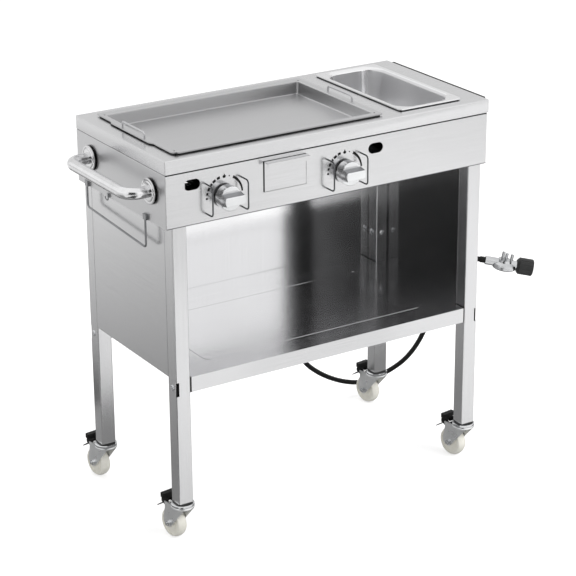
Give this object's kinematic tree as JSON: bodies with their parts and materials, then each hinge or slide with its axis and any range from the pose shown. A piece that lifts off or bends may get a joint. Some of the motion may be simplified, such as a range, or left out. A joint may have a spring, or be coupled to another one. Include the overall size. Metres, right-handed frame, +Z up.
{
  "type": "outdoor gas griddle station",
  "caption": "Stainless cart on locking casters with a drop-in griddle over gas burners, a lift-out food pan, a grease drawer, a shelf, a push handle and a hose with its regulator.",
  "frame": {"origin": "on the floor under the middle of the cart's plan extents, hose and regulator left out", "axes": "+X along the front to the right as the user faces the knobs, +Y to the back, +Z up"},
  "size_m": [1.1436, 0.56, 0.9881],
  "materials": {
    "brushed_stainless": "brushed",
    "griddle_steel": "matte ground",
    "pan_steel": "satin",
    "polished_wire": "polished",
    "satin_chrome": "satin",
    "polished_steel": "polished",
    "black_rubber": "matte",
    "black_seal": "matte",
    "black_plastic": "satin",
    "galvanised_steel": "plated",
    "burner_steel": "matte",
    "gas_brass": "satin",
    "zinc_plate": "zinc plated",
    "cream_nylon": "satin",
    "brake_lever": "matte",
    "regulator_grey": "satin"
  },
  "bodies": {
    "cart": {"worktop": "brushed_stainless", "burner_box": "brushed_stainless", "box_floor": "brushed_stainless", "heat_baffle": "brushed_stainless", "left_panel": "brushed_stainless", "right_panel": "brushed_stainless", "back_panel": "brushed_stainless", "shelf": "brushed_stainless", "shelf_spacers": "black_plastic", "leg_inserts": "black_plastic", "bumper_strip": "black_rubber", "rim_seals": "black_seal", "knob_guards": "polished_wire", "gas_valves": "gas_brass", "gas_manifold": "galvanised_steel", "burners": "burner_steel", "drawer_cradle": "brushed_stainless", "push_handle": "brushed_stainless", "handle_roses": "polished_steel", "tool_rail": "brushed_stainless", "utensil_hook": "brushed_stainless", "leg_plugs": "black_plastic", "caster_tops": "zinc_plate", "gas_inlet": "galvanised_steel", "gas_hose": "black_rubber", "hose_ferrules": "galvanised_steel", "hose_clip": "galvanised_steel", "regulator_body": "regulator_grey", "regulator_nipple": "gas_brass", "frame_screws": "galvanised_steel", "leg_front_left": "brushed_stainless", "leg_front_right": "brushed_stainless", "leg_back_left": "brushed_stainless", "leg_back_right": "brushed_stainless"},
    "griddle": {"griddle": "griddle_steel", "griddle_handles": "griddle_steel"},
    "food_pan": {"food_pan": "pan_steel"},
    "grease_drawer": {"grease_drawer": "brushed_stainless"},
    "valve_stem_left": {"valve_stem_left": "gas_brass"},
    "knob_left": {"knob_left": "satin_chrome"},
    "valve_stem_right": {"valve_stem_right": "gas_brass"},
    "knob_right": {"knob_right": "satin_chrome"},
    "caster_fork_front_left": {"caster_fork_front_left": "zinc_plate", "caster_axle_front_left": "zinc_plate"},
    "caster_wheel_front_left": {"caster_wheel_front_left": "cream_nylon"},
    "caster_pedal_front_left": {"caster_pedal_front_left": "brake_lever"},
    "caster_fork_front_right": {"caster_fork_front_right": "zinc_plate", "caster_axle_front_right": "zinc_plate"},
    "caster_wheel_front_right": {"caster_wheel_front_right": "cream_nylon"},
    "caster_pedal_front_right": {"caster_pedal_front_right": "brake_lever"},
    "caster_fork_back_left": {"caster_fork_back_left": "zinc_plate", "caster_axle_back_left": "zinc_plate"},
    "caster_wheel_back_left": {"caster_wheel_back_left": "cream_nylon"},
    "caster_pedal_back_left": {"caster_pedal_back_left": "brake_lever"},
    "caster_fork_back_right": {"caster_fork_back_right": "zinc_plate", "caster_axle_back_right": "zinc_plate"},
    "caster_wheel_back_right": {"caster_wheel_back_right": "cream_nylon"},
    "caster_pedal_back_right": {"caster_pedal_back_right": "brake_lever"},
    "cylinder_nut": {"cylinder_nut": "black_plastic"}
  },
  "joints": [
    {"name": "griddle_lift", "type": "slide", "parent": "cart", "child": "griddle", "axis": [0, 0, 1], "range_m": [0, 0.12]},
    {"name": "food_pan_lift", "type": "slide", "parent": "cart", "child": "food_pan", "axis": [0, 0, 1], "range_m": [0, 0.15]},
    {"name": "grease_drawer_pull", "type": "slide", "parent": "cart", "child": "grease_drawer", "axis": [0, -1, 0], "range_m": [0, 0.14]},
    {"name": "knob_turn_left", "type": "hinge", "parent": "cart", "child": "valve_stem_left", "pos_m": [-0.2625, -0.22716, 0.858], "axis": [0, 1, 0], "range_deg": [0, 180]},
    {"name": "knob_push_left", "type": "slide", "parent": "valve_stem_left", "child": "knob_left", "axis": [0, 1, 0], "range_m": [0, 0.004], "stiffness_N_per_m": 600},
    {"name": "knob_turn_right", "type": "hinge", "parent": "cart", "child": "valve_stem_right", "pos_m": [0.066, -0.22716, 0.858], "axis": [0, 1, 0], "range_deg": [0, 180]},
    {"name": "knob_push_right", "type": "slide", "parent": "valve_stem_right", "child": "knob_right", "axis": [0, 1, 0], "range_m": [0, 0.004], "stiffness_N_per_m": 600},
    {"name": "caster_swivel_front_left", "type": "hinge", "parent": "cart", "child": "caster_fork_front_left", "pos_m": [-0.3825, -0.20696, 0.09], "axis": [0, 0, 1], "continuous": true},
    {"name": "caster_roll_front_left", "type": "hinge", "parent": "caster_fork_front_left", "child": "caster_wheel_front_left", "pos_m": [-0.38744, -0.17181, 0.0375], "axis": [0.9903, 0.1392, 0], "continuous": true},
    {"name": "caster_brake_front_left", "type": "hinge", "parent": "caster_fork_front_left", "child": "caster_pedal_front_left", "pos_m": [-0.3889, -0.16141, 0.087], "axis": [-0.9903, -0.1392, 0], "range_deg": [0, 12]},
    {"name": "caster_swivel_front_right", "type": "hinge", "parent": "cart", "child": "caster_fork_front_right", "pos_m": [0.4495, -0.20696, 0.09], "axis": [0, 0, 1], "continuous": true},
    {"name": "caster_roll_front_right", "type": "hinge", "parent": "caster_fork_front_right", "child": "caster_wheel_front_right", "pos_m": [0.44456, -0.17181, 0.0375], "axis": [0.9903, 0.1392, 0], "continuous": true},
    {"name": "caster_brake_front_right", "type": "hinge", "parent": "caster_fork_front_right", "child": "caster_pedal_front_right", "pos_m": [0.4431, -0.16141, 0.087], "axis": [-0.9903, -0.1392, 0], "range_deg": [0, 12]},
    {"name": "caster_swivel_back_left", "type": "hinge", "parent": "cart", "child": "caster_fork_back_left", "pos_m": [-0.3825, 0.18764, 0.09], "axis": [0, 0, 1], "continuous": true},
    {"name": "caster_roll_back_left", "type": "hinge", "parent": "caster_fork_back_left", "child": "caster_wheel_back_left", "pos_m": [-0.38744, 0.22279, 0.0375], "axis": [0.9903, 0.1392, 0], "continuous": true},
    {"name": "caster_brake_back_left", "type": "hinge", "parent": "caster_fork_back_left", "child": "caster_pedal_back_left", "pos_m": [-0.3889, 0.23319, 0.087], "axis": [-0.9903, -0.1392, 0], "range_deg": [0, 12]},
    {"name": "caster_swivel_back_right", "type": "hinge", "parent": "cart", "child": "caster_fork_back_right", "pos_m": [0.4495, 0.18764, 0.09], "axis": [0, 0, 1], "continuous": true},
    {"name": "caster_roll_back_right", "type": "hinge", "parent": "caster_fork_back_right", "child": "caster_wheel_back_right", "pos_m": [0.44456, 0.22279, 0.0375], "axis": [0.9903, 0.1392, 0], "continuous": true},
    {"name": "caster_brake_back_right", "type": "hinge", "parent": "caster_fork_back_right", "child": "caster_pedal_back_right", "pos_m": [0.4431, 0.23319, 0.087], "axis": [-0.9903, -0.1392, 0], "range_deg": [0, 12]},
    {"name": "cylinder_nut_turn", "type": "hinge", "parent": "cart", "child": "cylinder_nut", "pos_m": [0.61683, -0.21179, 0.49938], "axis": [0.8337, -0.5207, -0.1841], "continuous": true}
  ]
}
